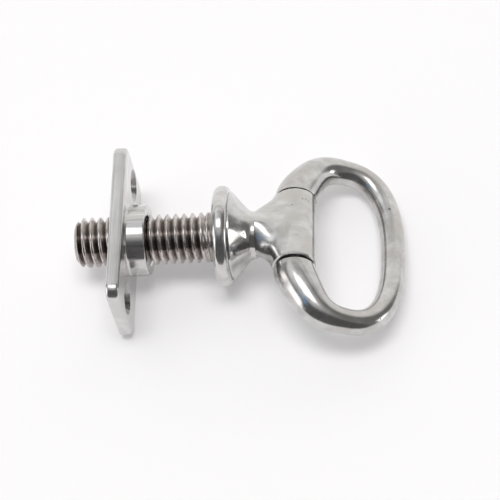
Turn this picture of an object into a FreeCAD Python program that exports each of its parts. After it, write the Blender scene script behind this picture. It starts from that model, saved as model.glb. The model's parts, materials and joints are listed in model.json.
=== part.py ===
import FreeCAD, Part
import math
import os
from FreeCAD import Vector

# Screw-in deck ring: an eye screw with a swinging ring, held in a plate with a threaded boss.
# It lies on its side: the screw axis is X, the ring's hinge axis is Y, and Z points up.
# The origin is on the screw axis in the back face of the plate. Sizes are in millimetres.

# Plate with its boss and two countersunk screw holes
plate_length = 32.8
plate_width = 17.2
plate_thickness = 2.6
plate_corner_radius = 2.5
plate_edge_rounding = 0.45
boss_diameter = 13.4
boss_height = 3.65
boss_foot_radius = 0.5
boss_rim_rounding = 0.35
bore_mouth_chamfer = 0.35
screw_hole_spacing = 24.5
screw_hole_diameter = 4.2
countersink_diameter = 6.3
countersink_angle = 90.0

# Threaded stud of the eye screw
thread_diameter = 9.4
thread_pitch = 1.5875
thread_depth = 0.92
thread_root_flat = 0.2
thread_crest_flat = 0.26
thread_runout_turns = 0.8
thread_overcut = 0.1
cut_tolerance = 0.001
shank_diameter = 9.1
shank_length = 1.1
tail_chamfer = 1.0
tail_length = 7.4
bore_clearance = 0.05
turns_unscrewed = 8
head_turn = 6.5

# Collar, concave cone and neck of the eye screw
collar_diameter = 19.0
collar_thickness = 2.9
collar_rounding = 1.3
collar_groove_width = 0.3
collar_groove_depth = 0.3
cone_base_diameter = 16.5
cone_angle = 50.0
neck_diameter = 8.9
neck_fillet_radius = 2.0
neck_land_length = 0.15

# Fan-shaped head and its cross barrel
collar_to_hinge = 14.7
barrel_diameter = 7.8
barrel_crown = 0.15
barrel_length = 15.6
barrel_lower_edge = 0.7
barrel_upper_edge = 0.3
fan_squareness = 3.0
fan_reach = 3.9
fan_outline_points = 32
fan_thickness = 7.7
fan_edge_setback = 0.35

# Ring, its hinge pin and their play in the barrel
ring_reach = 19.4
ring_half_length = 17.35
ring_bar_diameter = 4.7
ring_squareness = 2.5
ring_taper_end = 112.0
ring_arm_angle = 50.0
ring_arm_pull = 0.2
ring_arm_stations = 4
ring_oval_stations = 10
path_step = 0.001
droop_halvings = 24
shoulder_diameter = 7.8
pin_diameter = 4.0
pin_clearance = 0.05
pin_seat_depth = 2.4
upper_end_gap = 0.06
lower_end_gap = 0.45

boss_front = plate_thickness + boss_height
seat_x = boss_front + turns_unscrewed * thread_pitch
hinge_x = seat_x + collar_to_hinge
table_slope = (collar_diameter - plate_width) / 2 / (seat_x + collar_rounding)
x_axis = Vector(1, 0, 0)
y_axis = Vector(0, 1, 0)


def spin_about_x(outline):
    # Closed outline of lines and arcs in the XZ half plane, turned once round the screw axis
    return Part.Face(Part.Wire(outline)).revolve(Vector(0, 0, 0), x_axis, 360)


def at(x, radius):
    return Vector(x, 0, radius)


def line(start, end):
    return Part.LineSegment(start, end).toShape()


def quarter_arc(start, end, centre):
    # Quarter of a circle between two points, on the side away from the outer corner
    reach = (start - centre).Length
    middle = (start + end) * 0.5 - centre
    middle.normalize()
    return Part.Arc(start, centre + middle * reach, end).toShape()


def plate_blank():
    box = Part.makeBox(plate_thickness, plate_length, plate_width,
                       Vector(0, -plate_length / 2, -plate_width / 2))
    corners = [e for e in box.Edges if abs(e.tangentAt(e.FirstParameter).x) > 0.99]
    box = box.makeFillet(plate_corner_radius, corners)
    rims = [e for e in box.Edges if abs(e.tangentAt(e.FirstParameter).x) < 0.01]
    return box.makeFillet(plate_edge_rounding, rims)


def boss():
    radius = boss_diameter / 2
    foot = radius + boss_foot_radius
    front = boss_front
    rim = boss_rim_rounding
    foot_end = at(plate_thickness + boss_foot_radius, radius)
    outline = [
        line(at(plate_thickness / 2, 0), at(plate_thickness / 2, foot)),
        line(at(plate_thickness / 2, foot), at(plate_thickness, foot)),
        quarter_arc(at(plate_thickness, foot), foot_end, at(foot_end.x, foot)),
        line(foot_end, at(front - rim, radius)),
        quarter_arc(at(front - rim, radius), at(front, radius - rim), at(front - rim, radius - rim)),
        line(at(front, radius - rim), at(front, 0)),
        line(at(front, 0), at(plate_thickness / 2, 0)),
    ]
    return spin_about_x(outline)


def countersunk_hole(y):
    hole = Part.makeCylinder(screw_hole_diameter / 2, plate_thickness, Vector(0, y, 0), x_axis)
    depth = (countersink_diameter - screw_hole_diameter) / 2 / math.tan(math.radians(countersink_angle / 2))
    sink = Part.makeCone(screw_hole_diameter / 2, countersink_diameter / 2, depth,
                         Vector(plate_thickness - depth, y, 0), x_axis)
    return hole.fuse(sink)


def mounting_plate():
    body = plate_blank().fuse(boss())
    bore_radius = thread_diameter / 2 + bore_clearance
    mouth = bore_radius + bore_mouth_chamfer
    body = body.cut(Part.makeCylinder(bore_radius, boss_front, Vector(0, 0, 0), x_axis))
    body = body.cut(Part.makeCone(mouth, bore_radius, bore_mouth_chamfer, Vector(0, 0, 0), x_axis))
    body = body.cut(Part.makeCone(bore_radius, mouth, bore_mouth_chamfer,
                                  Vector(boss_front - bore_mouth_chamfer, 0, 0), x_axis))
    for side in (-1, 1):
        body = body.cut(countersunk_hole(side * screw_hole_spacing / 2))
    return body.removeSplitter()


def stud_rod():
    # Built upright along Z, tail down, and laid along the screw axis once it is threaded
    radius = thread_diameter / 2
    point_radius = radius - tail_chamfer
    point = Part.makeCone(point_radius, radius, tail_chamfer, Vector(0, 0, -tail_length))
    length = seat_x - shank_length - tail_chamfer + tail_length
    rod = Part.makeCylinder(radius, length, Vector(0, 0, tail_chamfer - tail_length))
    return point.fuse(rod).removeSplitter()


def thread_groove(start_z, turns, widening, turned):
    # V groove between two crests, swept along a right-hand helix that may open like a cone
    root = thread_diameter / 2 - thread_depth
    mouth = root + thread_depth + thread_overcut
    half_root = thread_root_flat / 2
    half_mouth = (thread_pitch - thread_crest_flat) / 2
    flank = (half_mouth - half_root) / thread_depth
    half_cutter = half_mouth + thread_overcut * flank
    spine = Part.makeHelix(thread_pitch, turns * thread_pitch, root, widening)
    profile = Part.makePolygon([Vector(root, 0, -half_root), Vector(mouth, 0, -half_cutter),
                                Vector(mouth, 0, half_cutter), Vector(root, 0, half_root),
                                Vector(root, 0, -half_root)])
    groove = Part.Wire(spine.Edges).makePipeShell([profile], True, True)
    groove.rotate(Vector(0, 0, 0), Vector(0, 0, 1), turned)
    groove.translate(Vector(0, 0, start_z))
    return groove


def threaded_stud():
    runout = thread_runout_turns * thread_pitch
    thread_end = seat_x - shank_length - runout
    lead_in = -tail_length - thread_pitch
    turns = (thread_end - lead_in) / thread_pitch
    widening = math.degrees(math.atan(thread_depth / runout))
    stud = stud_rod().cut((thread_groove(lead_in, turns, 0, 0),), cut_tolerance)
    stud = stud.cut((thread_groove(thread_end, thread_runout_turns, widening, 360 * turns),), cut_tolerance)
    shank = Part.makeCylinder(shank_diameter / 2, shank_length + collar_thickness / 2,
                              Vector(0, 0, seat_x - shank_length))
    stud = stud.fuse(shank)
    stud.rotate(Vector(0, 0, 0), y_axis, 90)
    return stud


def collar_cone_neck():
    collar = collar_diameter / 2
    inner = collar - collar_rounding
    back_x = seat_x + collar_thickness
    groove_floor = cone_base_diameter / 2 - collar_groove_depth
    cone_x = back_x + collar_groove_width
    base = cone_base_diameter / 2
    neck = neck_diameter / 2
    slope = math.tan(math.radians(cone_angle))
    meet_x = cone_x + (base - neck) / slope
    tangent = neck_fillet_radius * math.tan(math.radians(cone_angle / 2))
    fillet_start = at(meet_x - tangent * math.cos(math.radians(cone_angle)),
                      neck + tangent * math.sin(math.radians(cone_angle)))
    fillet_end = at(meet_x + tangent, neck)
    fillet_centre = at(meet_x + tangent, neck + neck_fillet_radius)
    half = math.radians(cone_angle / 2)
    fillet_middle = fillet_centre - at(math.sin(half), math.cos(half)) * neck_fillet_radius
    end_x = fillet_end.x + neck_land_length
    outline = [
        line(at(seat_x, 0), at(seat_x, inner)),
        quarter_arc(at(seat_x, inner), at(seat_x + collar_rounding, collar), at(seat_x + collar_rounding, inner)),
        line(at(seat_x + collar_rounding, collar), at(back_x - collar_rounding, collar)),
        quarter_arc(at(back_x - collar_rounding, collar), at(back_x, inner), at(back_x - collar_rounding, inner)),
        line(at(back_x, inner), at(back_x, groove_floor)),
        line(at(back_x, groove_floor), at(cone_x, groove_floor)),
        line(at(cone_x, groove_floor), at(cone_x, base)),
        line(at(cone_x, base), fillet_start),
        Part.Arc(fillet_start, fillet_middle, fillet_end).toShape(),
        line(fillet_end, at(end_x, neck)),
        line(at(end_x, neck), at(end_x, 0)),
        line(at(end_x, 0), at(seat_x, 0)),
    ]
    return spin_about_x(outline), end_x


def neck_circle(x):
    # The neck's end circle, started at +Y and turned towards +Z as the fan's outline is
    circle = Part.Wire([Part.Circle(Vector(0, 0, 0), Vector(0, 0, 1), neck_diameter / 2).toShape()])
    circle.rotate(Vector(0, 0, 0), Vector(1, 1, 1), 120)
    circle.translate(Vector(x, 0, 0))
    return circle


def fan_outline(x):
    # Rounded oblong across the screw axis, as wide as the barrel is long
    half_width = barrel_length / 2 - fan_edge_setback
    half_height = fan_thickness / 2
    points = []
    for i in range(fan_outline_points):
        angle = 2 * math.pi * i / fan_outline_points
        c = math.cos(angle)
        s = math.sin(angle)
        y = half_width * math.copysign(abs(c) ** (2 / fan_squareness), c)
        z = half_height * math.copysign(abs(s) ** (2 / fan_squareness), s)
        points.append(Vector(x, y, z))
    curve = Part.BSplineCurve()
    curve.interpolate(points, PeriodicFlag=True)
    return Part.Wire([curve.toShape()])


def fan(neck_end):
    # Straight flanks from the round neck to the barrel's full length, then level into the barrel
    wide_x = hinge_x - fan_reach
    flank = Part.makeLoft([neck_circle(neck_end), fan_outline(wide_x)], True, True)
    level = Part.Face(fan_outline(wide_x)).extrude(Vector(fan_reach, 0, 0))
    return flank.fuse(level)


def barrel():
    radius = barrel_diameter / 2
    half = barrel_length / 2
    low = barrel_lower_edge
    high = barrel_upper_edge
    ends = radius - barrel_crown

    def point(y, r):
        return Vector(hinge_x + r, y, 0)
    outline = [
        line(point(-half, 0), point(-half, ends - low)),
        quarter_arc(point(-half, ends - low), point(-half + low, ends), point(-half + low, ends - low)),
        Part.Arc(point(-half + low, ends), point(0, radius), point(half - high, ends)).toShape(),
        quarter_arc(point(half - high, ends), point(half, ends - high), point(half - high, ends - high)),
        line(point(half, ends - high), point(half, 0)),
        line(point(half, 0), point(-half, 0)),
    ]
    return Part.Face(Part.Wire(outline)).revolve(Vector(hinge_x, 0, 0), y_axis, 360)


def eye_screw():
    collar, neck_end = collar_cone_neck()
    body = threaded_stud().fuse(collar).fuse(fan(neck_end)).fuse(barrel())
    bore = Part.makeCylinder(pin_diameter / 2 + pin_clearance, barrel_length,
                             Vector(hinge_x, -barrel_length / 2, 0), y_axis)
    return body.cut(bore)


def oval_point(angle):
    # Point of the ring's oval centre line: angle 0 is at the hinge, 180 degrees at the far bar
    power = 2 / ring_squareness
    c = math.cos(angle)
    n = math.sin(angle)
    x = ring_reach / 2 * (1 - math.copysign(abs(c) ** power, c))
    y = ring_half_length * math.copysign(abs(n) ** power, n)
    return Vector(x, y, 0)


def half_path():
    # Centre point, direction and place on the oval, from the upper shoulder to the far bar
    shoulder = Vector(0, (barrel_length + upper_end_gap + lower_end_gap) / 2, 0)
    joins = math.radians(ring_arm_angle)
    end = oval_point(joins)
    along = oval_point(joins + path_step) - end
    along.normalize()
    pull = (end - shoulder).Length * ring_arm_pull
    bend = Part.BezierCurve()
    bend.setPoles([shoulder, shoulder + y_axis * pull, end - along * pull, end])
    path = []
    for i in range(ring_arm_stations):
        u = i / ring_arm_stations
        path.append((bend.value(u), bend.tangent(u)[0], ring_arm_angle * u))
    for i in range(ring_oval_stations + 1):
        degrees = ring_arm_angle + (180 - ring_arm_angle) * i / ring_oval_stations
        here = oval_point(math.radians(degrees))
        path.append((here, oval_point(math.radians(degrees) + path_step) - here, degrees))
    return path


def ring_stations():
    # Centre, heading and diameter all the way round: the lower half mirrors the upper one
    middle = (upper_end_gap - lower_end_gap) / 2
    upper = []
    lower = []
    for centre, along, degrees in half_path():
        heading = math.degrees(math.atan2(along.x, along.y))
        share = math.cos(math.radians(90 * min(degrees / ring_taper_end, 1))) ** 2
        diameter = ring_bar_diameter + (shoulder_diameter - ring_bar_diameter) * share
        upper.append((centre + y_axis * middle, heading, diameter))
        lower.append((Vector(centre.x, middle - centre.y, 0), 360 - heading, diameter))
    lower.reverse()
    return upper + lower[1:]


def ring_section(centre, heading, diameter):
    # Round section square to its heading, an angle measured from +Y towards +X
    circle = Part.Wire([Part.Circle(Vector(0, 0, 0), y_axis, diameter / 2).toShape()])
    circle.rotate(Vector(0, 0, 0), Vector(0, 0, 1), -heading)
    circle.translate(centre)
    return circle


def gap_to_table(droop):
    # The part lies on the plate's long edge and on the collar: least gap below the swung ring
    turn = math.radians(head_turn)
    gaps = []
    for centre, heading, diameter in ring_stations():
        x = hinge_x + centre.x * math.cos(droop)
        z = -centre.x * math.sin(droop) * math.cos(turn) - centre.y * math.sin(turn)
        gaps.append(z - diameter / 2 + plate_width / 2 + table_slope * x)
    return min(gaps)


def resting_droop():
    # Angle by which the ring swings down from the screw axis until it meets the table
    low = 0
    high = math.pi / 2
    for halving in range(droop_halvings):
        middle = (low + high) / 2
        if gap_to_table(middle) > 0:
            low = middle
        else:
            high = middle
    return math.degrees(low)


def ring_and_pin():
    # The pin sits in a blind hole in each shoulder and runs with clearance through the barrel
    low = -barrel_length / 2 - lower_end_gap - pin_seat_depth
    high = barrel_length / 2 + upper_end_gap + pin_seat_depth
    pin = Part.makeCylinder(pin_diameter / 2, high - low, Vector(0, low, 0), y_axis)
    bar = Part.makeLoft([ring_section(*station) for station in ring_stations()], True, False)
    ring = bar.cut(pin)
    for piece in (ring, pin):
        piece.rotate(Vector(0, 0, 0), y_axis, resting_droop())
        piece.translate(Vector(hinge_x, 0, 0))
    return ring, pin


parts = {}
os.makedirs("parts", exist_ok=True)
parts["mounting_plate"] = mounting_plate()
parts["eye_screw"] = eye_screw()
parts["ring"], parts["hinge_pin"] = ring_and_pin()
for name in ("eye_screw", "ring", "hinge_pin"):
    parts[name].rotate(Vector(0, 0, 0), x_axis, -head_turn)
for name, shape in parts.items():
    print(name, shape.isValid(), len(shape.Solids), round(shape.Volume, 2), shape.BoundBox)
    shape.exportStep("parts/" + name + ".step")
print("table slope", round(table_slope, 4), "ring droop", round(resting_droop(), 3))
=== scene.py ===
import math

import bmesh
import bpy
import numpy as np
from mathutils import Matrix, Vector
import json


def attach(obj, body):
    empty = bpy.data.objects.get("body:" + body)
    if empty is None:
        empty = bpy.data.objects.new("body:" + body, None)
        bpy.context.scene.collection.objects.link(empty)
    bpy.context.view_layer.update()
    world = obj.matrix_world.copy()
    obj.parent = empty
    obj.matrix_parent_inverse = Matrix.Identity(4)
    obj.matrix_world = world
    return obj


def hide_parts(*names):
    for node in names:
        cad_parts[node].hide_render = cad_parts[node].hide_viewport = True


mm = 0.001

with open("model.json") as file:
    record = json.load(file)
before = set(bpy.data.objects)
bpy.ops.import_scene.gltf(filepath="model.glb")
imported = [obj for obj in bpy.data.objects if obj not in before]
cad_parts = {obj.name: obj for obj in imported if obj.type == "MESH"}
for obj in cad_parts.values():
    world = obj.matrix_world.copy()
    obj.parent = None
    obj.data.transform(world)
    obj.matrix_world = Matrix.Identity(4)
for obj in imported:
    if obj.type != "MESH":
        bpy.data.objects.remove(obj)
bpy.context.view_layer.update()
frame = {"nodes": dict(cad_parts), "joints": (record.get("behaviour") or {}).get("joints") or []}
nodes = frame["nodes"]
hinge = next(joint for joint in frame["joints"] if joint["name"] == "ring_hinge")
hingeX = hinge["pos_m"][0] / mm
headTurn = math.atan2(hinge["axis"][2], -hinge["axis"][1])  # the head's turn about the screw
ringDroop = math.radians(sum(hinge["range_deg"]) / 2)  # the stops lie evenly about the level ring
print("frame loaded:", ", ".join(sorted(nodes)))


# Node helpers

def addNode(tree, kind, inputs=None, **settings):
    # An input is a socket to link or a plain value
    node = tree.nodes.new(kind)
    for key, value in settings.items():
        setattr(node, key, value)
    for key, value in (inputs or {}).items():
        if isinstance(value, bpy.types.NodeSocket):
            tree.links.new(value, node.inputs[key])
        else:
            node.inputs[key].default_value = value
    return node


def maths(tree, operation, first, second=0.0):
    return addNode(tree, "ShaderNodeMath", {0: first, 1: second}, operation=operation).outputs["Value"]


def vectorMaths(tree, operation, first, second=(0, 0, 0), result="Vector"):
    return addNode(tree, "ShaderNodeVectorMath", {0: first, 1: second}, operation=operation).outputs[result]


def ramp(tree, value, low, high, outLow=0.0, outHigh=1.0, shape="LINEAR"):
    return addNode(tree, "ShaderNodeMapRange", {"Value": value, "From Min": low, "From Max": high, "To Min": outLow,
                                                "To Max": outHigh}, interpolation_type=shape).outputs["Result"]


def mixed(tree, factor, first, second):
    # A colour is a socket or three numbers, and sockets 6 and 7 are the mix's two colours
    colours = [value if isinstance(value, bpy.types.NodeSocket) else (*value, 1) for value in (first, second)]
    return addNode(tree, "ShaderNodeMix", {0: factor, 6: colours[0], 7: colours[1]}, data_type="RGBA").outputs[2]


def openTree(kind, name, inputs, results):
    # Inputs and results are lists of names for each kind of socket
    tree = bpy.data.node_groups.new(name, kind)
    for way, sockets in (("INPUT", inputs), ("OUTPUT", results)):
        for socketKind, keys in sockets.items():
            for key in keys:
                tree.interface.new_socket(key, in_out=way, socket_type="NodeSocket" + socketKind)
    return tree, tree.nodes.new("NodeGroupInput").outputs, tree.nodes.new("NodeGroupOutput").inputs


def newMaterial(name, settings):
    material = bpy.data.materials.new(name)
    material.use_nodes = True
    tree = material.node_tree
    shader = tree.nodes["Principled BSDF"]
    for key, value in settings.items():
        shader.inputs[key].default_value = value
    return material, tree, shader


# Shared effects: polishing marks with faint clouding, and the cast skin below them with its waves and pits

steelEffects = {
    "markDetail": 4.0, "markRoughness": 0.65, "cloudDetail": 3.0, "cloudRoughness": 0.5,
    "waveDetail": 1.0, "waveRoughness": 0.4, "pitCore": 0.05, "pitEdge": 0.22,  # a pit's size in its cell
    "spotCore": 0.5, "spotEdge": 1.3,  # where a single pit starts to fade and where it ends, by its own size
    "cloudRange": (0.35, 0.65), "stainRange": (0.5, 0.68), "markRange": (0.3, 0.7),  # of the noise that shows
}


def noise(tree, vector, scale, kind):
    return addNode(tree, "ShaderNodeTexNoise", {
        "Vector": vector, "Scale": scale, "Detail": steelEffects[kind + "Detail"],
        "Roughness": steelEffects[kind + "Roughness"]}).outputs["Fac"]


def makePolishMarks():
    group, start, end = openTree("ShaderNodeTree", "polishMarks", {
        "Vector": ["Vector"], "Float": ["Mark Size", "Cloud Size"]}, {"Float": ["Marks", "Clouds"]})
    group.links.new(noise(group, start["Vector"], start["Mark Size"], "mark"), end["Marks"])
    group.links.new(noise(group, start["Vector"], start["Cloud Size"], "cloud"), end["Clouds"])
    return group


def makeCastSkin():
    group, start, end = openTree("ShaderNodeTree", "castSkin", {
        "Vector": ["Vector"], "Float": ["Wave Size", "Pit Size", "Pit Share"]}, {"Float": ["Waves", "Pits"]})
    cells = addNode(group, "ShaderNodeTexVoronoi", {"Vector": start["Vector"], "Scale": start["Pit Size"]}).outputs
    dots = ramp(group, cells["Distance"], steelEffects["pitCore"], steelEffects["pitEdge"], 1.0, 0.0, "SMOOTHSTEP")
    chance = addNode(group, "ShaderNodeSeparateColor", {"Color": cells["Color"]}).outputs["Red"]
    chosen = maths(group, "LESS_THAN", chance, start["Pit Share"])
    group.links.new(noise(group, start["Vector"], start["Wave Size"], "wave"), end["Waves"])
    group.links.new(maths(group, "MULTIPLY", dots, chosen), end["Pits"])
    return group


polishMarks = makePolishMarks()
castSkin = makeCastSkin()


def rootShadeMask(tree, place, look):
    # 0 in the thread's roots, which get painted shade, and 1 on its crests and on the tail's face
    split = addNode(tree, "ShaderNodeSeparateXYZ", {"Vector": place}).outputs
    flat = addNode(tree, "ShaderNodeCombineXYZ", {"X": split["Y"], "Y": split["Z"]}).outputs["Vector"]
    root, crest = look["groove"]
    tail, lead = look["tail"]
    return maths(tree, "MAXIMUM", ramp(tree, vectorMaths(tree, "LENGTH", flat, result="Value"), root * mm, crest * mm),
                 ramp(tree, split["X"], lead * mm, tail * mm))


def makeSteel(name, look):
    # Heights are in millimetres, so the bump's distance is one millimetre
    material, tree, shader = newMaterial(name, {"Metallic": 1.0})
    place = tree.nodes.new("ShaderNodeTexCoord").outputs["Object"]
    drawn = addNode(tree, "ShaderNodeMapping", {"Vector": place, "Scale": look["stretch"]}).outputs["Vector"]
    marks = addNode(tree, "ShaderNodeGroup", {
        "Vector": drawn, "Mark Size": look["markSize"], "Cloud Size": look["cloudSize"]},
        node_tree=polishMarks).outputs
    skin = addNode(tree, "ShaderNodeGroup", {
        "Vector": place, "Wave Size": look["waveSize"], "Pit Size": look["pitSize"],
        "Pit Share": look["pitShare"]}, node_tree=castSkin).outputs
    tone = mixed(tree, ramp(tree, marks["Clouds"], *steelEffects["cloudRange"]), look["light"], look["dark"])
    tone = mixed(tree, ramp(tree, skin["Waves"], *steelEffects["stainRange"]), tone, look["stain"])
    if "groove" in look:
        # Painted shade: the thread's roots are darkened towards the root colour
        tone = mixed(tree, rootShadeMask(tree, place, look), look["paintedRootShade"], tone)
    tone = mixed(tree, skin["Pits"], tone, look["pitColour"])
    dents = skin["Pits"]
    for spot, size in look.get("spots", ()):
        # Single pits, each at its own place
        away = vectorMaths(tree, "DISTANCE", place, [part * mm for part in spot], "Value")
        mask = ramp(tree, away, size * steelEffects["spotCore"] * mm, size * steelEffects["spotEdge"] * mm, 1.0, 0.0)
        tone = mixed(tree, mask, tone, look["spotColour"])
        dents = maths(tree, "MAXIMUM", dents, mask)
    tree.links.new(tone, shader.inputs["Base Color"])
    rough = ramp(tree, marks["Marks"], *steelEffects["markRange"], look["smooth"], look["rough"])
    if "castFrom" in look:
        # The head's block kept its cast skin, rougher than the turned collar and cone
        along = addNode(tree, "ShaderNodeSeparateXYZ", {"Vector": place}).outputs["X"]
        start, end = look["castFrom"]
        rough = maths(tree, "ADD", rough, ramp(tree, along, start * mm, end * mm, 0.0, look["castRoughness"]))
    tree.links.new(rough, shader.inputs["Roughness"])
    height = maths(tree, "ADD", maths(tree, "MULTIPLY", skin["Waves"], look["waveHeight"]),
                   maths(tree, "MULTIPLY", marks["Marks"], look["markHeight"]))
    height = maths(tree, "SUBTRACT", height, maths(tree, "MULTIPLY", dents, look["pitDepth"]))
    bump = addNode(tree, "ShaderNodeBump", {"Height": height, "Strength": 1.0, "Distance": mm})
    tree.links.new(bump.outputs["Normal"], shader.inputs["Normal"])
    return material


# Each look: colours, roughness from smooth to rough, how much the polishing marks are drawn out along each axis, the
# patterns' scales per metre, and heights in millimetres. Places of single pits are in millimetres too

plateSteelLook = {
    "light": (0.72, 0.71, 0.705), "dark": (0.58, 0.57, 0.565), "stain": (0.62, 0.61, 0.60),
    "smooth": 0.12, "rough": 0.28, "stretch": (1.0, 0.10, 1.0), "markSize": 2200.0, "cloudSize": 700.0,
    "waveSize": 220.0, "waveHeight": 0.035, "markHeight": 0.003,
    "pitSize": 900.0, "pitShare": 0.015, "pitDepth": 0.02, "pitColour": (0.30, 0.29, 0.28),
}
bossSteelLook = dict(plateSteelLook, stretch=(0.06, 1.0, 1.0), markSize=1800.0, cloudSize=1100.0, smooth=0.10,
                     rough=0.20, waveHeight=0.015, markHeight=0.004, dark=(0.46, 0.45, 0.445))
headSteelLook = {
    "light": (0.69, 0.68, 0.67), "dark": (0.55, 0.54, 0.53), "stain": (0.57, 0.555, 0.535),
    "smooth": 0.06, "rough": 0.2, "stretch": (0.3, 1.0, 1.0), "markSize": 1500.0, "cloudSize": 600.0,
    "waveSize": 260.0, "waveHeight": 0.045, "markHeight": 0.002,
    "pitSize": 900.0, "pitShare": 0.05, "pitDepth": 0.04, "pitColour": (0.30, 0.29, 0.28),
    "castFrom": (25.9, 26.6), "castRoughness": 0.07, "spotColour": (0.16, 0.15, 0.145),
    "spots": [((33.4, 4.2, 3.4), 0.13), ((35.3, 5.7, 2.8), 0.12), ((35.9, 5.8, 2.5), 0.13),
              ((36.4, 5.6, 2.1), 0.1)],
}
ringSteelLook = {
    "light": (0.64, 0.63, 0.62), "dark": (0.50, 0.49, 0.48), "stain": (0.53, 0.51, 0.49),
    "smooth": 0.1, "rough": 0.24, "stretch": (1.0, 1.0, 1.0), "markSize": 1400.0, "cloudSize": 450.0,
    "waveSize": 200.0, "waveHeight": 0.045, "markHeight": 0.002,
    "pitSize": 900.0, "pitShare": 0.05, "pitDepth": 0.04, "pitColour": (0.30, 0.29, 0.28),
    "spotColour": (0.08, 0.07, 0.065),
    "spots": [((51.0, 8.1, -6.2), 0.22), ((34.7, 12.4, 1.6), 0.14), ((36.0, 15.0, 0.2), 0.12)],
}
studSteelLook = {
    "light": (0.66, 0.625, 0.605), "dark": (0.48, 0.44, 0.42), "stain": (0.54, 0.50, 0.48),
    "smooth": 0.12, "rough": 0.26, "stretch": (1.0, 1.0, 1.0), "markSize": 2000.0, "cloudSize": 1300.0,
    "waveSize": 500.0, "waveHeight": 0.03, "markHeight": 0.002,
    "pitSize": 1200.0, "pitShare": 0.03, "pitDepth": 0.02, "pitColour": (0.20, 0.175, 0.16),
    # Painted shade in the thread's roots: the root colour, and the radii from root to crest over which it fades
    "groove": (3.8, 4.25), "tail": (-7.25, -7.0), "paintedRootShade": (0.09, 0.07, 0.06),
}
# Painted shade: the countersunk holes take darker colours that stand in for the shade inside them
sinkShadeLook = dict(plateSteelLook, light=(0.46, 0.45, 0.445), dark=(0.28, 0.27, 0.265), stain=(0.34, 0.33, 0.32),
                     smooth=0.1, rough=0.25)
pinSteelLook = dict(plateSteelLook, stretch=(1.0, 0.2, 1.0), markSize=1500.0, smooth=0.15, rough=0.3)
finishes = {
    "mounting_plate": makeSteel("plateSteel", plateSteelLook),
    "boss": makeSteel("bossSteel", bossSteelLook),
    "eye_screw": makeSteel("screwSteel", headSteelLook),
    "ring": makeSteel("ringSteel", ringSteelLook),
    "hinge_pin": makeSteel("pinSteel", pinSteelLook),
    "stud": makeSteel("studSteel", studSteelLook),
    "sink": makeSteel("sinkPaintedShade", sinkShadeLook),
}
for name, node in nodes.items():
    node.data.materials.clear()
    node.data.materials.append(finishes[name])
print("finishes made")


# Own pieces, made in millimetres. The head, the ring and the plate are made level, and the first two then turned

def placed(name, data):
    item = bpy.data.objects.new(name, data)
    bpy.context.scene.collection.objects.link(item)
    return item


def meshFrom(name, points, faces, finish):
    mesh = bpy.data.meshes.new(name)
    mesh.from_pydata(points, [], faces)
    mesh.materials.append(finish)
    return mesh


def evaluatedMesh(carrier):
    return bpy.data.meshes.new_from_object(carrier.evaluated_get(bpy.context.evaluated_depsgraph_get()))


def circleRow(x, radius, count, centre=0.0):
    # Outline round an axis parallel to X
    angles = [2 * math.pi * j / count for j in range(count)]
    return [(x, centre + radius * math.cos(angle), radius * math.sin(angle)) for angle in angles]


def rowFaces(rows, count):
    # Faces between neighbouring outlines of the same number of points, and the first outline's own face
    faces = []
    for i in range(rows - 1):
        for j in range(count):
            k = (j + 1) % count
            faces.append((i * count + j, i * count + k, (i + 1) * count + k, (i + 1) * count + j))
    return faces + [tuple(reversed(range(count)))]


def turnedToFrame(mesh, before=Matrix.Identity(4)):
    mesh.transform(Matrix.Scale(mm, 4) @ Matrix.Rotation(-headTurn, 4, "X") @ before)


def addPiece(name, mesh, body, node):
    piece = placed(name, mesh)
    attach(piece, body)
    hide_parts(node)
    return piece


def smoothShaded(mesh, sharpAngle):
    mesh.shade_smooth()
    mesh.set_sharp_from_angle(angle=math.radians(sharpAngle))


# Head of the eye screw: collar, hollow cone and neck are turned, the fan and its barrel are blended

headSizes = {
    # Turned: collar with the groove behind it, hollow cone and neck
    "collarDiameter": 19.0, "collarThickness": 2.9, "collarRounding": 1.3, "collarToHinge": 14.7,
    "grooveWidth": 0.3, "grooveDepth": 0.3, "coneBase": 16.5, "coneAngle": 46.5, "conePull": 3.0,
    "neckPull": 1.2, "neckDiameter": 8.9, "neckEnd": 7.47, "neckLand": 0.3, "middleRadius": 0.01,
    # Fan: how far before the hinge it is widest, the powers of its flare, its section and its ridged lower flank
    "upperReach": 4.2, "lowerReach": 3.0, "upperFlare": 0.9, "lowerFlare": 1.1, "edgeSetback": 0.1,
    "shoulderBlend": 0.8, "fanThickness": 7.1, "fanSquareness": 2.2, "lowerPower": 1.45, "ridgeWidth": 0.15,
    # Barrel and its blend into the fan
    "barrelDiameter": 7.8, "barrelTaper": 0.12, "barrelLength": 15.6, "lowerEdge": 0.3, "upperEdge": 0.1,
    "blend": 1.5, "blendEnd": 1.4, "leastBlend": 0.001,
    # Mesh
    "columns": 288, "rimSteps": 12, "coneRows": 30, "fanRows": 84, "frontRows": 36, "searchReach": 2.0,
    "halvings": 30, "mergeDistance": 0.002, "sharpAngle": 24.0,
}


def arcPoints(middle, radius, start, end, steps):
    # Angles are in degrees, from the first axis towards the second
    angles = [math.radians(start + (end - start) * i / steps) for i in range(steps + 1)]
    return [(middle[0] + radius * math.cos(a), middle[1] + radius * math.sin(a)) for a in angles]


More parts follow.
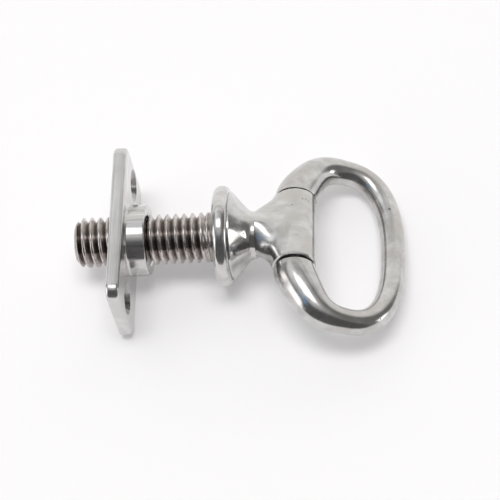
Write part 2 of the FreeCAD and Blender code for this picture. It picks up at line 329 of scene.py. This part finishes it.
def turnedProfile(sizes):
    seat = hingeX - sizes["collarToHinge"]
    outer = sizes["collarDiameter"] / 2
    bend = sizes["collarRounding"]
    back = seat + sizes["collarThickness"]
    coneStart = back + sizes["grooveWidth"]
    base = sizes["coneBase"] / 2
    neck = sizes["neckDiameter"] / 2
    steps = sizes["rimSteps"]
    profile = [(seat, sizes["middleRadius"]), (seat, outer / 2)]
    profile += arcPoints((seat + bend, outer - bend), bend, 180, 90, steps)
    profile += arcPoints((back - bend, outer - bend), bend, 90, 0, steps)
    profile += [(back, base - sizes["grooveDepth"]), (coneStart, base - sizes["grooveDepth"])]
    # Hollow cone: one curve from its base, at the cone's angle, to the level neck
    angle = math.radians(sizes["coneAngle"])
    end = seat + sizes["neckEnd"] - sizes["neckLand"]
    poles = [(coneStart, base), (coneStart + sizes["conePull"] * math.cos(angle),
                                 base - sizes["conePull"] * math.sin(angle)),
             (end - sizes["neckPull"], neck), (end, neck)]
    for i in range(sizes["coneRows"] + 1):
        u = i / sizes["coneRows"]
        weights = ((1 - u) ** 3, 3 * u * (1 - u) ** 2, 3 * u * u * (1 - u), u ** 3)
        profile.append(tuple(sum(w * pole[k] for w, pole in zip(weights, poles)) for k in (0, 1)))
    profile.append((end + sizes["neckLand"], neck))
    return profile


def softLess(first, second, width):
    # Smaller of two distances, rounded where they are nearly equal
    share = np.clip(0.5 + 0.5 * (second - first) / width, 0, 1)
    return second + (first - second) * share - width * share * (1 - share)


def headDistance(x, y, z, sizes, neckEnd):
    # Negative inside the head: flared fan and cross barrel, run together
    neck = sizes["neckDiameter"] / 2
    wide = sizes["barrelLength"] / 2 - sizes["edgeSetback"]
    high = sizes["fanThickness"] / 2
    reach = np.where(y < 0, sizes["lowerReach"], sizes["upperReach"])
    along = (x - neckEnd) / (hingeX - reach - neckEnd)
    grow = np.maximum(along, 0) ** np.where(y < 0, sizes["lowerFlare"], sizes["upperFlare"])
    halfWidth = softLess(neck + (wide - neck) * grow, np.full_like(along, wide), sizes["shoulderBlend"])
    settle = np.clip(along, 0, 1)
    settle = settle * settle * (3 - 2 * settle)
    halfHeight = neck + (high - neck) * settle
    # The lower flank starts with a crease at the neck, as a ridged section, and fills out towards the barrel
    start = 2 - (2 - sizes["lowerPower"]) * np.clip(-y / sizes["ridgeWidth"], 0, 1)
    power = start + (sizes["fanSquareness"] - start) * settle ** 2
    ratio = (np.abs(y / halfWidth) ** power + np.abs(z / halfHeight) ** power) ** (1 / power)
    fan = np.maximum((ratio - 1) * np.minimum(halfWidth, halfHeight), x - hingeX)
    radius = sizes["barrelDiameter"] / 2 - sizes["barrelTaper"] * 2 * y / sizes["barrelLength"]
    edge = np.where(y < 0, sizes["lowerEdge"], sizes["upperEdge"])
    out = np.hypot(x - hingeX, z) - radius + edge
    end = np.abs(y) - sizes["barrelLength"] / 2 + edge
    barrel = np.hypot(np.maximum(out, 0), np.maximum(end, 0)) + np.minimum(np.maximum(out, end), 0) - edge
    blend = sizes["blend"] * np.clip((hingeX - x) / sizes["blendEnd"], 0, 1)
    return softLess(fan, barrel, np.maximum(blend, sizes["leastBlend"]))


def headRows(sizes, neckEnd):
    # Closed outlines across the screw axis, found by halving along each direction
    angles = 2 * np.pi * np.arange(sizes["columns"]) / sizes["columns"]
    radius = sizes["barrelDiameter"] / 2
    steps = [neckEnd + (hingeX - neckEnd) * (i + 1) / sizes["fanRows"] for i in range(sizes["fanRows"])]
    # The last row stays half a step short of the barrel's front line
    steps += [hingeX + radius * math.sin(math.pi / 2 * (i + 1) / (sizes["frontRows"] + 0.5))
              for i in range(sizes["frontRows"])]
    rows = []
    for x in steps:
        high = radius if x <= hingeX else math.sqrt(radius ** 2 - (x - hingeX) ** 2)
        share = min(1, (x - neckEnd) / (hingeX - sizes["upperReach"] - neckEnd))
        wide = sizes["neckDiameter"] / 2 * (1 - share) + sizes["barrelLength"] / 2 * share
        high = high + sizes["barrelTaper"]
        across = wide * np.cos(angles)
        up = high * np.sin(angles)
        low = np.zeros_like(angles)
        far = np.full_like(angles, sizes["searchReach"])
        for halving in range(sizes["halvings"]):
            middle = (low + far) / 2
            inside = headDistance(np.full_like(angles, x), across * middle, up * middle, sizes, neckEnd) < 0
            low = np.where(inside, middle, low)
            far = np.where(inside, far, middle)
        rows.append([(x, a * s, u * s) for a, u, s in zip(across, up, low)])
    return rows


def makeEyeHead():
    sizes = headSizes
    count = sizes["columns"]
    profile = turnedProfile(sizes)
    rows = [circleRow(x, radius, count) for x, radius in profile] + headRows(sizes, profile[-1][0])
    faces = rowFaces(len(rows), count)
    # The barrel's front line is closed across, each point to the one mirrored in it
    last = (len(rows) - 1) * count
    for j in range(count // 2):
        quad = (last + j, last + (count - j) % count, last + count - j - 1, last + j + 1)
        faces.append(tuple(dict.fromkeys(reversed(quad))))
    mesh = meshFrom("eyeHead", [point for row in rows for point in row], faces, finishes["eye_screw"])
    turnedToFrame(mesh)
    work = bmesh.new()
    work.from_mesh(mesh)
    bmesh.ops.remove_doubles(work, verts=work.verts, dist=sizes["mergeDistance"] * mm)
    bmesh.ops.recalc_face_normals(work, faces=work.faces)
    work.to_mesh(mesh)
    work.free()
    smoothShaded(mesh, sizes["sharpAngle"])
    addPiece("eyeHead", mesh, "screw", "eye_screw")


# Threaded stud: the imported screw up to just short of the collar's seat, with its thread left as cut

studSizes = {"mergeDistance": 0.002, "sharpAngle": 32.0, "shortOfCollar": 0.01}


def makeStud():
    mesh = nodes["eye_screw"].data.copy()
    mesh.name = "threadedStud"
    mesh.materials.clear()
    cut = (hingeX - headSizes["collarToHinge"] - studSizes["shortOfCollar"]) * mm
    work = bmesh.new()
    work.from_mesh(mesh)
    bmesh.ops.remove_doubles(work, verts=work.verts, dist=studSizes["mergeDistance"] * mm)
    bmesh.ops.bisect_plane(work, geom=work.verts[:] + work.edges[:] + work.faces[:], plane_co=(cut, 0, 0),
                           plane_no=(1, 0, 0), clear_outer=True)
    opened = [edge for edge in work.edges if edge.is_boundary]
    bmesh.ops.holes_fill(work, edges=opened, sides=len(opened))
    print("stud closed:", not any(edge.is_boundary or not edge.is_manifold for edge in work.edges))
    work.to_mesh(mesh)
    work.free()
    smoothShaded(mesh, studSizes["sharpAngle"])
    mesh.materials.append(finishes["stud"])
    addPiece("threadedStud", mesh, "screw", "eye_screw")


# Ring: a round bar along a squarish oval, thickening over its arms into the shoulders beside the barrel

ringSizes = {
    "reach": 19.4, "halfLength": 17.35, "squareness": 2.5, "barDiameter": 4.7, "shoulderDiameter": 7.8,
    "taperShare": 0.445, "armAngle": 50.0, "armPull": 0.2, "upperGap": 0.05, "lowerGap": 0.57,
    "rimRounding": 0.2, "rimSegments": 3, "rimAngle": 60.0, "pathPoints": 360, "barPoints": 96,
    "slopeStep": 0.001, "sharpAngle": 50.0,
}


def ovalPoint(sizes, angle):
    power = 2 / sizes["squareness"]
    c, n = math.cos(angle), math.sin(angle)
    return Vector((sizes["reach"] / 2 * (1 - math.copysign(abs(c) ** power, c)),
                   sizes["halfLength"] * math.copysign(abs(n) ** power, n), 0))


def armPoles(sizes):
    # Shoulder, its pull along the hinge, the oval's pull and the point where the arm joins the oval
    shoulder = Vector((0, (headSizes["barrelLength"] + sizes["upperGap"] + sizes["lowerGap"]) / 2, 0))
    angle = math.radians(sizes["armAngle"])
    join = ovalPoint(sizes, angle)
    along = (ovalPoint(sizes, angle + sizes["slopeStep"]) - join).normalized()
    pull = (join - shoulder).length * sizes["armPull"]
    return shoulder, shoulder + Vector((0, pull, 0)), join - along * pull, join


def makeRingTree():
    tree, start, end = openTree("GeometryNodeTree", "ringBar", {
        "Float": ["Reach", "Half Length", "Squareness", "Bar Diameter", "Shoulder Diameter", "Taper Share",
                  "Arm Angle"],
        "Vector": ["Shoulder", "Shoulder Pull", "Oval Pull", "Join"], "Int": ["Path Points", "Bar Points"],
        "Material": ["Finish"]}, {"Geometry": ["Geometry"]})

    def scaled(vector, *factors):
        factor = factors[0]
        for other in factors[1:]:
            factor = maths(tree, "MULTIPLY", factor, other)
        return addNode(tree, "ShaderNodeVectorMath", {0: vector, "Scale": factor}, operation="SCALE").outputs["Vector"]

    def rounded(value):
        # To the oval's power, with its sign kept
        size = maths(tree, "POWER", maths(tree, "ABSOLUTE", value), maths(tree, "DIVIDE", 2.0, start["Squareness"]))
        return maths(tree, "MULTIPLY", size, maths(tree, "SIGN", value))

    # Place along the bar: 1 at the shoulders and 0 at the far bar, then an angle from 0 to 180 degrees
    factor = tree.nodes.new("GeometryNodeSplineParameter").outputs["Factor"]
    signed = maths(tree, "SUBTRACT", 1.0, maths(tree, "MULTIPLY", factor, 2.0))
    fromShoulder = maths(tree, "SUBTRACT", 1.0, maths(tree, "ABSOLUTE", signed))
    degrees = maths(tree, "MULTIPLY", fromShoulder, 180.0)
    angle = maths(tree, "RADIANS", degrees)
    ovalX = maths(tree, "MULTIPLY", maths(tree, "DIVIDE", start["Reach"], 2.0),
                  maths(tree, "SUBTRACT", 1.0, rounded(maths(tree, "COSINE", angle))))
    ovalY = maths(tree, "MULTIPLY", start["Half Length"], rounded(maths(tree, "SINE", angle)))
    oval = addNode(tree, "ShaderNodeCombineXYZ", {"X": ovalX, "Y": ovalY}).outputs["Vector"]

    # The arm is one curve through four poles, from the shoulder to the oval
    u = maths(tree, "MINIMUM", maths(tree, "DIVIDE", degrees, start["Arm Angle"]), 1.0)
    v = maths(tree, "SUBTRACT", 1.0, u)
    arm = scaled(start["Shoulder"], v, v, v)
    for pole, factors in (("Shoulder Pull", (v, v, u, 3.0)), ("Oval Pull", (u, u, v, 3.0)), ("Join", (u, u, u))):
        arm = vectorMaths(tree, "ADD", arm, scaled(start[pole], *factors))
    onOval = maths(tree, "GREATER_THAN", degrees, start["Arm Angle"])
    # Sockets 4 and 5 are the mix's two vectors
    place = addNode(tree, "ShaderNodeMix", {0: onOval, 4: arm, 5: oval}, data_type="VECTOR").outputs[1]
    sides = addNode(tree, "ShaderNodeCombineXYZ", {"X": 1.0, "Y": maths(tree, "SIGN", signed), "Z": 1.0})
    place = vectorMaths(tree, "MULTIPLY", place, sides.outputs["Vector"])

    # The bar's diameter eases from the shoulder down to the plain bar
    taper = maths(tree, "MINIMUM", maths(tree, "DIVIDE", fromShoulder, start["Taper Share"]), 1.0)
    share = maths(tree, "POWER", maths(tree, "COSINE", maths(tree, "MULTIPLY", taper, math.pi / 2)), 2.0)
    extra = maths(tree, "MULTIPLY", maths(tree, "SUBTRACT", start["Shoulder Diameter"], start["Bar Diameter"]), share)
    radius = maths(tree, "DIVIDE", maths(tree, "ADD", start["Bar Diameter"], extra), 2.0)

    straight = tree.nodes.new("GeometryNodeCurvePrimitiveLine").outputs["Curve"]
    divided = addNode(tree, "GeometryNodeResampleCurve", {"Curve": straight, "Count": start["Path Points"]})
    # Read once the points are in place, the factor follows the bar's length, so the taper has no kink at the join
    bent = addNode(tree, "GeometryNodeSetPosition", {"Geometry": divided.outputs["Curve"], "Position": place})
    sized = addNode(tree, "GeometryNodeSetCurveRadius", {"Curve": bent.outputs["Geometry"], "Radius": radius})
    section = addNode(tree, "GeometryNodeCurvePrimitiveCircle", {"Resolution": start["Bar Points"], "Radius": 1.0})
    ownRadius = tree.nodes.new("GeometryNodeInputRadius").outputs["Radius"]
    bar = addNode(tree, "GeometryNodeCurveToMesh", {"Curve": sized.outputs["Curve"], "Scale": ownRadius,
                                                    "Profile Curve": section.outputs["Curve"], "Fill Caps": True})
    real = addNode(tree, "GeometryNodeRealizeInstances", {"Geometry": bar.outputs["Mesh"]})
    finished = addNode(tree, "GeometryNodeSetMaterial", {"Geometry": real.outputs["Geometry"],
                                                         "Material": start["Finish"]})
    tree.links.new(finished.outputs["Geometry"], end["Geometry"])
    return tree


def makeFromTree(name, tree, values):
    # A bare carrier takes the tree, and what it makes is kept as a plain mesh
    carrier = placed(name, bpy.data.meshes.new(name))
    modifier = carrier.modifiers.new(name, "NODES")
    modifier.node_group = tree
    for item in tree.interface.items_tree:
        if item.in_out == "INPUT" and item.name in values:
            modifier[item.identifier] = values[item.name]
    mesh = evaluatedMesh(carrier)
    bpy.data.objects.remove(carrier)
    return mesh


def makeRing():
    sizes = ringSizes
    poles = armPoles(sizes)
    mesh = makeFromTree("swingRing", makeRingTree(), {
        "Reach": sizes["reach"], "Half Length": sizes["halfLength"], "Squareness": sizes["squareness"],
        "Bar Diameter": sizes["barDiameter"], "Shoulder Diameter": sizes["shoulderDiameter"],
        "Taper Share": sizes["taperShare"], "Arm Angle": sizes["armAngle"], "Shoulder": poles[0],
        "Shoulder Pull": poles[1], "Oval Pull": poles[2], "Join": poles[3],
        "Path Points": sizes["pathPoints"], "Bar Points": sizes["barPoints"], "Finish": finishes["ring"]})
    shift = Matrix.Translation((0, (sizes["upperGap"] - sizes["lowerGap"]) / 2, 0))
    hung = Matrix.Translation((hingeX, 0, 0)) @ Matrix.Rotation(ringDroop, 4, "Y") @ shift
    turnedToFrame(mesh, hung)
    smoothShaded(mesh, sizes["sharpAngle"])
    piece = addPiece("swingRing", mesh, "ring", "ring")
    bevel = piece.modifiers.new("rimRounding", "BEVEL")
    bevel.width = sizes["rimRounding"] * mm
    bevel.segments = sizes["rimSegments"]
    bevel.limit_method = "ANGLE"
    bevel.angle_limit = math.radians(sizes["rimAngle"])


# Plate with its boss and countersunk holes, cut from turned and rounded blanks

plateSizes = {
    "length": 32.8, "width": 17.2, "thickness": 2.6, "cornerRadius": 2.5, "edgeRounding": 0.75,
    "bossDiameter": 13.4, "bossHeight": 3.65, "bossFoot": 0.5, "bossRim": 0.35, "boreDiameter": 9.5,
    "boreChamfer": 0.35, "holeSpacing": 24.5, "holeDiameter": 4.2, "sinkDiameter": 6.3, "sinkAngle": 90.0,
    "overcut": 1.0, "turnSteps": 144, "holeSteps": 72, "cornerSteps": 12, "edgeSteps": 6, "rimSteps": 6,
    "levelWithin": 0.001, "sharpAngle": 28.0,
}


def turnedMesh(name, outline, steps, finish, centre=0.0):
    # Outline of distances along X and from the axis, turned once round an axis parallel to X
    points = [point for x, radius in outline for point in circleRow(x, radius, steps, centre)]
    faces = rowFaces(len(outline), steps) + [tuple(range(len(points) - steps, len(points)))]
    return meshFrom(name, points, faces, finish)


def plateBlank(sizes):
    # Outline across the screw, pushed along it and rounded at both rims
    half = sizes["length"] / 2 - sizes["cornerRadius"]
    rise = sizes["width"] / 2 - sizes["cornerRadius"]
    outline = []
    for y, z, start in ((half, rise, 0), (-half, rise, 90), (-half, -rise, 180), (half, -rise, 270)):
        outline += arcPoints((y, z), sizes["cornerRadius"], start, start + 90, sizes["cornerSteps"])
    work = bmesh.new()
    back = work.faces.new([work.verts.new((0, y, z)) for y, z in outline])
    made = bmesh.ops.extrude_face_region(work, geom=[back])
    bmesh.ops.translate(work, vec=(sizes["thickness"], 0, 0),
                        verts=[item for item in made["geom"] if isinstance(item, bmesh.types.BMVert)])
    bmesh.ops.recalc_face_normals(work, faces=work.faces)
    rims = [edge for edge in work.edges
            if abs(edge.verts[0].co.x - edge.verts[1].co.x) < sizes["levelWithin"]]
    bmesh.ops.bevel(work, geom=rims, offset=sizes["edgeRounding"], segments=sizes["edgeSteps"], profile=0.5,
                    affect="EDGES")
    mesh = bpy.data.meshes.new("plateBlank")
    work.to_mesh(mesh)
    work.free()
    mesh.materials.append(finishes["mounting_plate"])
    return mesh


def makePlate():
    sizes = plateSizes
    thick = sizes["thickness"]
    front = thick + sizes["bossHeight"]
    radius = sizes["bossDiameter"] / 2
    foot, rim, steps = sizes["bossFoot"], sizes["bossRim"], sizes["rimSteps"]
    bossOutline = [(thick / 2, radius + foot), (thick, radius + foot)]
    bossOutline += arcPoints((thick + foot, radius + foot), foot, 270, 180, steps)[::-1]
    bossOutline += arcPoints((front - rim, radius - rim), rim, 90, 0, steps)
    bore, chamfer, over = sizes["boreDiameter"] / 2, sizes["boreChamfer"], sizes["overcut"]
    boreOutline = [(-over, bore + chamfer + over), (chamfer, bore), (front - chamfer, bore),
                   (front + over, bore + chamfer + over)]
    hole = sizes["holeDiameter"] / 2
    deep = (sizes["sinkDiameter"] / 2 - hole) / math.tan(math.radians(sizes["sinkAngle"] / 2))
    sinkOutline = [(-over, hole), (thick - deep, hole), (thick + over, hole + deep + over)]
    tools = [("UNION", turnedMesh("boss", bossOutline, sizes["turnSteps"], finishes["boss"])),
             ("DIFFERENCE", turnedMesh("bore", boreOutline, sizes["turnSteps"], finishes["mounting_plate"]))]
    for side in (-1, 1):
        place = side * sizes["holeSpacing"] / 2
        # The screw holes' faces take the countersink finish, with its painted shade
        tools.append(("DIFFERENCE", turnedMesh("screwHole", sinkOutline, sizes["holeSteps"], finishes["sink"], place)))
    carrier = placed("plateWork", plateBlank(sizes))
    helpers = []
    for operation, mesh in tools:
        helper = placed(mesh.name, mesh)
        helpers.append(helper)
        cut = carrier.modifiers.new(mesh.name, "BOOLEAN")
        cut.operation = operation
        cut.solver = "EXACT"
        cut.material_mode = "TRANSFER"
        cut.object = helper
    mesh = evaluatedMesh(carrier)
    for item in helpers + [carrier]:
        bpy.data.objects.remove(item)
    mesh.transform(Matrix.Scale(mm, 4))
    smoothShaded(mesh, sizes["sharpAngle"])
    piece = addPiece("deckPlate", mesh, "plate", "mounting_plate")
    weights = piece.modifiers.new("flatFaces", "WEIGHTED_NORMAL")
    weights.keep_sharp = True


makePlate()
print("plate made")
makeEyeHead()
print("eye head made")
makeStud()
print("threaded stud made")
makeRing()
print("ring made")


# Floor and light, in metres. A zone's azimuth runs from +Y towards +X and its elevation up from the horizon, in degrees

studio = {
    "floorHalf": 2.2, "tableNear": 0.11, "floorColour": (0.71, 0.70, 0.705), "floorGlow": (0.235, 0.232, 0.234),
    "floorRoughness": 0.75, "backLean": 0.01,
    "backdropRadius": 3.0, "backdropSides": 24, "backdropColour": (0.93, 0.925, 0.93),
    "lowLight": 0.27, "highLight": 0.62, "lowEnd": 42.0, "highEnd": 72.0,  # plain room light, by elevation
    "leastFacing": 0.02,  # a direction's least share along an axis where its tangent is taken
}
# Middle azimuth and elevation, half width and height, softness, strength and colour of each patch of light. Later
# patches lie over earlier ones
lightZones = {
    "backRoom": (178.0, 10.0, 58.0, 50.0, 0.18, 0.12, (1.0, 0.98, 1.0)),
    "nearTable": (180.0, -24.0, 80.0, 16.0, 0.5, 0.6, (1.0, 0.99, 0.98)),
    "rightRoom": (84.0, 22.0, 26.0, 26.0, 0.25, 0.22, (1.0, 0.99, 0.97)),
    "leftRoom": (-73.0, 12.0, 11.0, 32.0, 0.35, 0.36, (1.0, 0.97, 0.95)),
    "leftGlow": (-66.0, 62.0, 40.0, 14.0, 0.5, 1.05, (0.97, 1.0, 1.02)),
    "leftWindow": (-104.0, 10.0, 20.0, 25.0, 0.2, 2.0, (1.0, 0.995, 1.0)),
    "leftFrame": (-100.0, 8.0, 3.0, 24.0, 0.5, 0.8, (0.97, 0.98, 1.0)),
    "blueWindow": (-131.0, 53.0, 6.5, 15.0, 0.4, 0.42, (0.58, 0.96, 1.5)),
    "rightWindow": (92.0, 1.0, 9.0, 9.0, 0.15, 2.8, (1.0, 0.985, 0.965)),
}
# Arched white sweep behind the part: half width and height as tangents, softness, strength and colour
lightArches = {
    "sweepRim": (2.6, 1.75, 0.05, 0.80, (1.0, 0.995, 0.99)),
    "rimShade": (2.2, 1.25, 0.05, 0.62, (1.0, 0.99, 0.98)),
    "backSweep": (1.75, 1.07, 0.07, 0.98, (1.0, 0.99, 0.97)),
}
# Softbox overhead: half sizes as tangents, softness, strength and colour
overheadSoftbox = {"halfX": 0.32, "halfY": 0.16, "softness": 0.25, "strength": 3.2, "colour": (1.0, 0.995, 0.99)}
# The same softbox as a lamp, for the floor's light and the soft shadow
overheadLamp = {"height": 1.5, "energy": 9.1, "colour": (1.0, 0.995, 0.99)}


def zoneMask(tree, distance, softness):
    # 1 inside the outline, where the distance is under 1, and 0 outside it
    return ramp(tree, distance, maths(tree, "SUBTRACT", 1.0, softness), maths(tree, "ADD", 1.0, softness), 1.0, 0.0,
                "SMOOTHSTEP")


def roundedDistance(tree, across, along):
    # Fourth-power distance, which gives a rectangle with rounded corners
    fourth = [maths(tree, "POWER", maths(tree, "ABSOLUTE", part), 4.0) for part in (across, along)]
    return maths(tree, "POWER", maths(tree, "ADD", *fourth), 0.25)


def makeZoneGroup():
    group, start, end = openTree("ShaderNodeTree", "lightZone", {
        "Color": ["Behind", "Light"],
        "Float": ["Azimuth", "Elevation", "Middle Azimuth", "Middle Elevation", "Half Width", "Half Height",
                  "Softness"]}, {"Color": ["Result"]})
    # The way round to the zone's middle, brought between -180 and 180 degrees
    turned = maths(group, "ADD", maths(group, "SUBTRACT", start["Azimuth"], start["Middle Azimuth"]), 540.0)
    wrapped = maths(group, "SUBTRACT", maths(group, "FLOORED_MODULO", turned, 360.0), 180.0)
    across = maths(group, "DIVIDE", wrapped, start["Half Width"])
    along = maths(group, "DIVIDE", maths(group, "SUBTRACT", start["Elevation"], start["Middle Elevation"]),
                  start["Half Height"])
    mask = zoneMask(group, roundedDistance(group, across, along), start["Softness"])
    group.links.new(mixed(group, mask, start["Behind"], start["Light"]), end["Result"])
    return group


def makeArchGroup():
    group, start, end = openTree("ShaderNodeTree", "lightArch", {
        "Color": ["Behind", "Light"], "Float": ["Side", "Rise", "Ahead", "Half Width", "Height", "Softness"]},
        {"Color": ["Result"]})
    across = maths(group, "DIVIDE", maths(group, "DIVIDE", start["Side"], start["Ahead"]), start["Half Width"])
    along = maths(group, "DIVIDE", maths(group, "DIVIDE", start["Rise"], start["Ahead"]), start["Height"])
    squares = [maths(group, "POWER", maths(group, "ABSOLUTE", part), 2.0) for part in (across, along)]
    mask = zoneMask(group, maths(group, "SQRT", maths(group, "ADD", *squares)), start["Softness"])
    inFront = maths(group, "GREATER_THAN", start["Ahead"], studio["leastFacing"])
    group.links.new(mixed(group, maths(group, "MULTIPLY", mask, inFront), start["Behind"], start["Light"]),
                    end["Result"])
    return group


def makeStudioWorld():
    world = bpy.data.worlds.new("studioWorld")
    bpy.context.scene.world = world
    world.use_nodes = True
    tree = world.node_tree
    direction = tree.nodes.new("ShaderNodeTexCoord").outputs["Generated"]
    unit = vectorMaths(tree, "NORMALIZE", direction)
    split = addNode(tree, "ShaderNodeSeparateXYZ", {"Vector": unit}).outputs
    x, y, z = split["X"], split["Y"], split["Z"]
    azimuth = maths(tree, "DEGREES", maths(tree, "ARCTAN2", x, y))
    elevation = maths(tree, "DEGREES", maths(tree, "ARCSINE", z))
    base = ramp(tree, elevation, studio["lowEnd"], studio["highEnd"], studio["lowLight"], studio["highLight"],
                "SMOOTHSTEP")
    colour = addNode(tree, "ShaderNodeCombineColor", dict.fromkeys(("Red", "Green", "Blue"), base)).outputs["Color"]

    def lit(tint, strength):
        return [part * strength for part in tint]

    archGroup = makeArchGroup()
    for name, (halfWidth, height, softness, strength, tint) in lightArches.items():
        colour = addNode(tree, "ShaderNodeGroup", {
            "Behind": colour, "Side": x, "Rise": z, "Ahead": y, "Half Width": halfWidth, "Height": height,
            "Softness": softness, "Light": (*lit(tint, strength), 1)},
            node_tree=archGroup, label=name).outputs["Result"]
    zoneGroup = makeZoneGroup()
    for name, (middle, rise, halfWidth, halfHeight, softness, strength, tint) in lightZones.items():
        colour = addNode(tree, "ShaderNodeGroup", {
            "Behind": colour, "Azimuth": azimuth, "Elevation": elevation, "Middle Azimuth": middle,
            "Middle Elevation": rise, "Half Width": halfWidth, "Half Height": halfHeight, "Softness": softness,
            "Light": (*lit(tint, strength), 1)}, node_tree=zoneGroup, label=name).outputs["Result"]
    box = overheadSoftbox
    across, along = (maths(tree, "DIVIDE", maths(tree, "DIVIDE", part, z), box[half])
                     for part, half in ((x, "halfX"), (y, "halfY")))
    mask = zoneMask(tree, roundedDistance(tree, across, along), box["softness"])
    mask = maths(tree, "MULTIPLY", mask, maths(tree, "GREATER_THAN", z, studio["leastFacing"]))
    colour = mixed(tree, mask, colour, lit(box["colour"], box["strength"]))
    tree.links.new(colour, tree.nodes["Background"].inputs["Color"])


def makeStagePiece(name, points, faces, material):
    piece = placed(name, meshFrom(name, points, faces, material))
    return piece


def makeFloor():
    # The part lies on the plate's long edge and on the collar, so the floor leans to touch both
    backLean = studio["backLean"]  # enough to choose the back one of the plate's lowest points
    plate = min((v.co for v in nodes["mounting_plate"].data.vertices), key=lambda co: co.z + co.x * backLean)
    collar = min((v.co for v in nodes["eye_screw"].data.vertices), key=lambda co: co.z)
    slope = (collar.z - plate.z) / (collar.x - plate.x)
    half = studio["floorHalf"]
    near = -studio["tableNear"]
    material = newMaterial("paleFloor", {
        "Base Color": (*studio["floorColour"], 1), "Roughness": studio["floorRoughness"],
        "Emission Color": (*studio["floorGlow"], 1), "Emission Strength": 1.0})[0]
    floors = []
    for name, low, high in (("floor", near, half), ("floorApron", -half, near)):
        corners = [(-half, low), (half, low), (half, high), (-half, high)]
        points = [(x, y, plate.z + slope * (x - plate.x)) for x, y in corners]
        floors.append(makeStagePiece(name, points, [(0, 1, 2, 3)], material))
    # Polished steel sees the dark room past the table's near edge
    floors[1].visible_glossy = False


def makeBackdrop():
    # Plain pale surround that only the camera sees, so that low views have no patches behind the part
    radius, sides = studio["backdropRadius"], studio["backdropSides"]
    turns = [2 * math.pi * i / sides for i in range(sides)]
    points = [(radius * math.cos(turn), radius * math.sin(turn), level) for level in (-radius, radius)
              for turn in turns]
    faces = [(i, (i + 1) % sides, sides + (i + 1) % sides, sides + i) for i in range(sides)]
    faces += [tuple(range(sides)), tuple(range(sides, 2 * sides))]
    material = newMaterial("paleBackdrop", {
        "Base Color": (0, 0, 0, 1), "Specular IOR Level": 0.0,
        "Emission Color": (*studio["backdropColour"], 1), "Emission Strength": 1.0})[0]
    backdrop = makeStagePiece("backdrop", points, faces, material)
    backdrop.visible_diffuse = False
    backdrop.visible_glossy = False
    backdrop.visible_transmission = False
    backdrop.visible_shadow = False


def makeLamp():
    data = bpy.data.lights.new("overheadLamp", "AREA")
    data.shape = "RECTANGLE"
    data.size = 2 * overheadSoftbox["halfX"] * overheadLamp["height"]
    data.size_y = 2 * overheadSoftbox["halfY"] * overheadLamp["height"]
    data.energy = overheadLamp["energy"]
    data.color = overheadLamp["colour"]
    lamp = placed("overheadLamp", data)
    lamp.location = (0, 0, overheadLamp["height"])
    # Steel already mirrors the softbox in the world
    lamp.visible_glossy = False


makeFloor()
makeBackdrop()
makeLamp()
makeStudioWorld()
print("floor and light set")


# Camera: the photograph's viewing angle, worked out for a 500 by 500 picture

cameraView = {
    "focalPixels": 1900.0, "pictureSize": 500, "sensor": 36.0, "distance": 352.655 * mm,
    "elevation": 58.726, "azimuth": -12.241, "roll": -13.133, "target": (25.248 * mm, -3.194 * mm, 0.0),
    "clipStart": 0.01,
}


def makeCamera():
    elevation, azimuth, roll = (math.radians(cameraView[key]) for key in ("elevation", "azimuth", "roll"))
    ahead = Vector((math.sin(azimuth) * math.cos(elevation), math.cos(azimuth) * math.cos(elevation),
                    -math.sin(elevation)))
    level = Vector((math.cos(azimuth), -math.sin(azimuth), 0))
    up = level.cross(ahead)
    right = level * math.cos(roll) + up * math.sin(roll)
    top = up * math.cos(roll) - level * math.sin(roll)
    data = bpy.data.cameras.new("photoCamera")
    data.sensor_width = cameraView["sensor"]
    data.lens = cameraView["sensor"] * cameraView["focalPixels"] / cameraView["pictureSize"]
    data.clip_start = cameraView["clipStart"]
    camera = placed("photoCamera", data)
    place = Vector(cameraView["target"]) - ahead * cameraView["distance"]
    turn = Matrix((right, top, -ahead)).transposed().to_4x4()
    camera.matrix_world = Matrix.Translation(place) @ turn
    bpy.context.scene.camera = camera


makeCamera()
bpy.context.scene.view_settings.view_transform = "Standard"
print("camera set")
